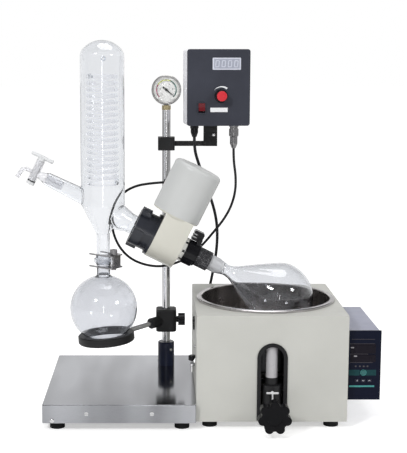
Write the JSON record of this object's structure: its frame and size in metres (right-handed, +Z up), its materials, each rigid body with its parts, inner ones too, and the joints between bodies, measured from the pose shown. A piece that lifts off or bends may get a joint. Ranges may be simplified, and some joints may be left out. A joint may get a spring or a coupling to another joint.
{
  "type": "rotary evaporator",
  "caption": "Bench rotary evaporator: tilted rotating pear flask over a lifting water bath, coil condenser, receiving flask, vacuum gauge and speed controller on one column.",
  "frame": {"origin": "under the middle of the object, on the table, without the mains cord", "axes": "+Z up, the front faces -Y, +X to the right as seen from the front"},
  "size_m": [0.6901, 0.4698, 0.717],
  "materials": {
    "brushed_stainless": "satin",
    "polished_steel": "polished",
    "navy_paint": "gloss",
    "brass": "satin",
    "dial_white": "matte",
    "lens": "polished",
    "needle_black": "satin",
    "charcoal_case": "satin",
    "grey_case": "satin",
    "black_plastic": "gloss",
    "red_switch": "gloss",
    "black_iron": "satin",
    "cream_enamel": "gloss",
    "cover_grey": "satin",
    "motor_steel": "satin",
    "gear_steel": "satin",
    "gear_bronze": "satin",
    "clear_glass": "polished",
    "smoked_plastic": "gloss",
    "ptfe_white": "satin",
    "black_rubber": "matte",
    "bath_paint": "satin",
    "pot_steel": "polished",
    "heater_steel": "satin",
    "key_teal": "matte"
  },
  "bodies": {
    "stand": {"base_plate": "brushed_stainless", "bath_body": "bath_paint", "bath_controller": "navy_paint", "bath_front": "bath_paint", "bath_top": "bath_paint", "bearing_cap": "cream_enamel", "cable_gland": "black_plastic", "column": "polished_steel", "column_socket": "navy_paint", "condenser_coil": "clear_glass", "condenser_jacket": "clear_glass", "controller_arm": "black_iron", "controller_case": "grey_case", "controller_panel": "charcoal_case", "drive_motor": "motor_steel", "gauge_case": "polished_steel", "gauge_dial": "dial_white", "gauge_fitting": "brass", "gauge_lens": "lens", "gear_housing": "cream_enamel", "head_bracket": "cream_enamel", "lift_post": "polished_steel", "motor_cable": "black_rubber", "motor_connector": "polished_steel", "motor_cover": "cover_grey", "power_cord": "black_rubber", "power_cord_coil": "black_rubber", "power_plug": "black_rubber", "receiver_clip": "polished_steel", "receiving_flask": "clear_glass", "rubber_feet": "black_rubber", "shaft_seal": "black_rubber", "slot_trim": "black_rubber", "spindle_bearings": "polished_steel", "stopcock_body": "clear_glass"},
    "rotor": {"bevel_wheel": "gear_bronze", "spindle": "gear_steel", "flask_nut": "black_plastic", "joint_clip": "smoked_plastic", "vapour_tube": "clear_glass", "evaporating_flask": "clear_glass"},
    "pinion": {"bevel_pinion": "gear_steel"},
    "condenser_nut_ring": {"condenser_nut": "black_plastic"},
    "latch": {"flask_latch": "black_plastic"},
    "needle": {"gauge_needle": "needle_black"},
    "speed_dial": {"speed_knob": "black_plastic"},
    "rocker": {"power_switch": "red_switch"},
    "stopcock_key": {"stopcock_plug": "ptfe_white"},
    "clip_thumbscrew": {"clip_screw": "polished_steel"},
    "ring_support": {"ring_clamp": "black_iron", "support_ring": "black_iron"},
    "ring_handwheel": {"ring_knob": "black_plastic"},
    "bath_lift": {"bath_pot": "pot_steel", "heater": "heater_steel", "lift_carriage": "black_iron"},
    "lift_handwheel": {"lift_knob": "black_plastic"},
    "set_button": {"set_key": "key_teal"},
    "down_button": {"down_key": "key_teal"},
    "up_button": {"up_key": "key_teal"},
    "power_button": {"power_key": "key_teal"}
  },
  "joints": [
    {"name": "rotor_spin", "type": "hinge", "parent": "stand", "child": "rotor", "pos_m": [-0.0525, 0.014, 0.33], "axis": [0.8957, 0, -0.4446], "continuous": true},
    {"name": "pinion_spin", "type": "hinge", "parent": "stand", "child": "pinion", "pos_m": [-0.05877, 0.014, 0.33311], "axis": [0.4446, 0, 0.8957], "continuous": true},
    {"name": "condenser_nut_turn", "type": "hinge", "parent": "stand", "child": "condenser_nut_ring", "pos_m": [-0.0525, 0.014, 0.33], "axis": [0.8957, 0, -0.4446], "range_deg": [0, 270]},
    {"name": "latch_lift", "type": "hinge", "parent": "rotor", "child": "latch", "pos_m": [0.01235, 0.014, 0.33019], "axis": [0, 1, 0], "range_deg": [0, 35]},
    {"name": "gauge_needle_turn", "type": "hinge", "parent": "stand", "child": "needle", "pos_m": [-0.0525, 0.115, 0.62], "axis": [0, -1, 0], "range_deg": [0, 258]},
    {"name": "speed_knob_turn", "type": "hinge", "parent": "stand", "child": "speed_dial", "pos_m": [0.05295, 0.04842, 0.61], "axis": [-0.0698, 0.9976, 0], "range_deg": [0, 270]},
    {"name": "power_switch_tilt", "type": "hinge", "parent": "stand", "child": "rocker", "pos_m": [0.01513, 0.05179, 0.587], "axis": [0.9976, 0.0698, 0], "range_deg": [0, 14]},
    {"name": "stopcock_turn", "type": "hinge", "parent": "stand", "child": "stopcock_key", "pos_m": [-0.30957, 0.014, 0.45761], "axis": [0.4446, 0, 0.8957], "continuous": true},
    {"name": "clip_screw_turn", "type": "hinge", "parent": "stand", "child": "clip_thumbscrew", "pos_m": [-0.15532, -0.00335, 0.30343], "axis": [0, 0, 1], "range_deg": [0, 360]},
    {"name": "ring_slide", "type": "slide", "parent": "stand", "child": "ring_support", "axis": [0, 0, 1], "range_m": [-0.02, 0]},
    {"name": "ring_knob_turn", "type": "hinge", "parent": "ring_support", "child": "ring_handwheel", "pos_m": [-0.0525, 0.1285, 0.14645], "axis": [1, 0, 0], "range_deg": [0, 360]},
    {"name": "pot_lift", "type": "slide", "parent": "stand", "child": "bath_lift", "axis": [0, 0, 1], "range_m": [0, 0.045]},
    {"name": "lift_knob_turn", "type": "hinge", "parent": "bath_lift", "child": "lift_handwheel", "pos_m": [0.142, -0.1985, 0.04], "axis": [0, 1, 0], "range_deg": [0, 360]},
    {"name": "set_key_press", "type": "slide", "parent": "stand", "child": "set_button", "axis": [0, 1, 0], "range_m": [0, 0.0008], "stiffness_N_per_m": 600, "springref_m": -0.0003},
    {"name": "down_key_press", "type": "slide", "parent": "stand", "child": "down_button", "axis": [0, 1, 0], "range_m": [0, 0.0008], "stiffness_N_per_m": 600, "springref_m": -0.0003},
    {"name": "up_key_press", "type": "slide", "parent": "stand", "child": "up_button", "axis": [0, 1, 0], "range_m": [0, 0.0008], "stiffness_N_per_m": 600, "springref_m": -0.0003},
    {"name": "power_key_press", "type": "slide", "parent": "stand", "child": "power_button", "axis": [0, 1, 0], "range_m": [0, 0.0008], "stiffness_N_per_m": 600, "springref_m": -0.0003}
  ],
  "couplings": [
    {"joint": "pinion_spin", "follows": "rotor_spin", "ratio": -2}
  ]
}
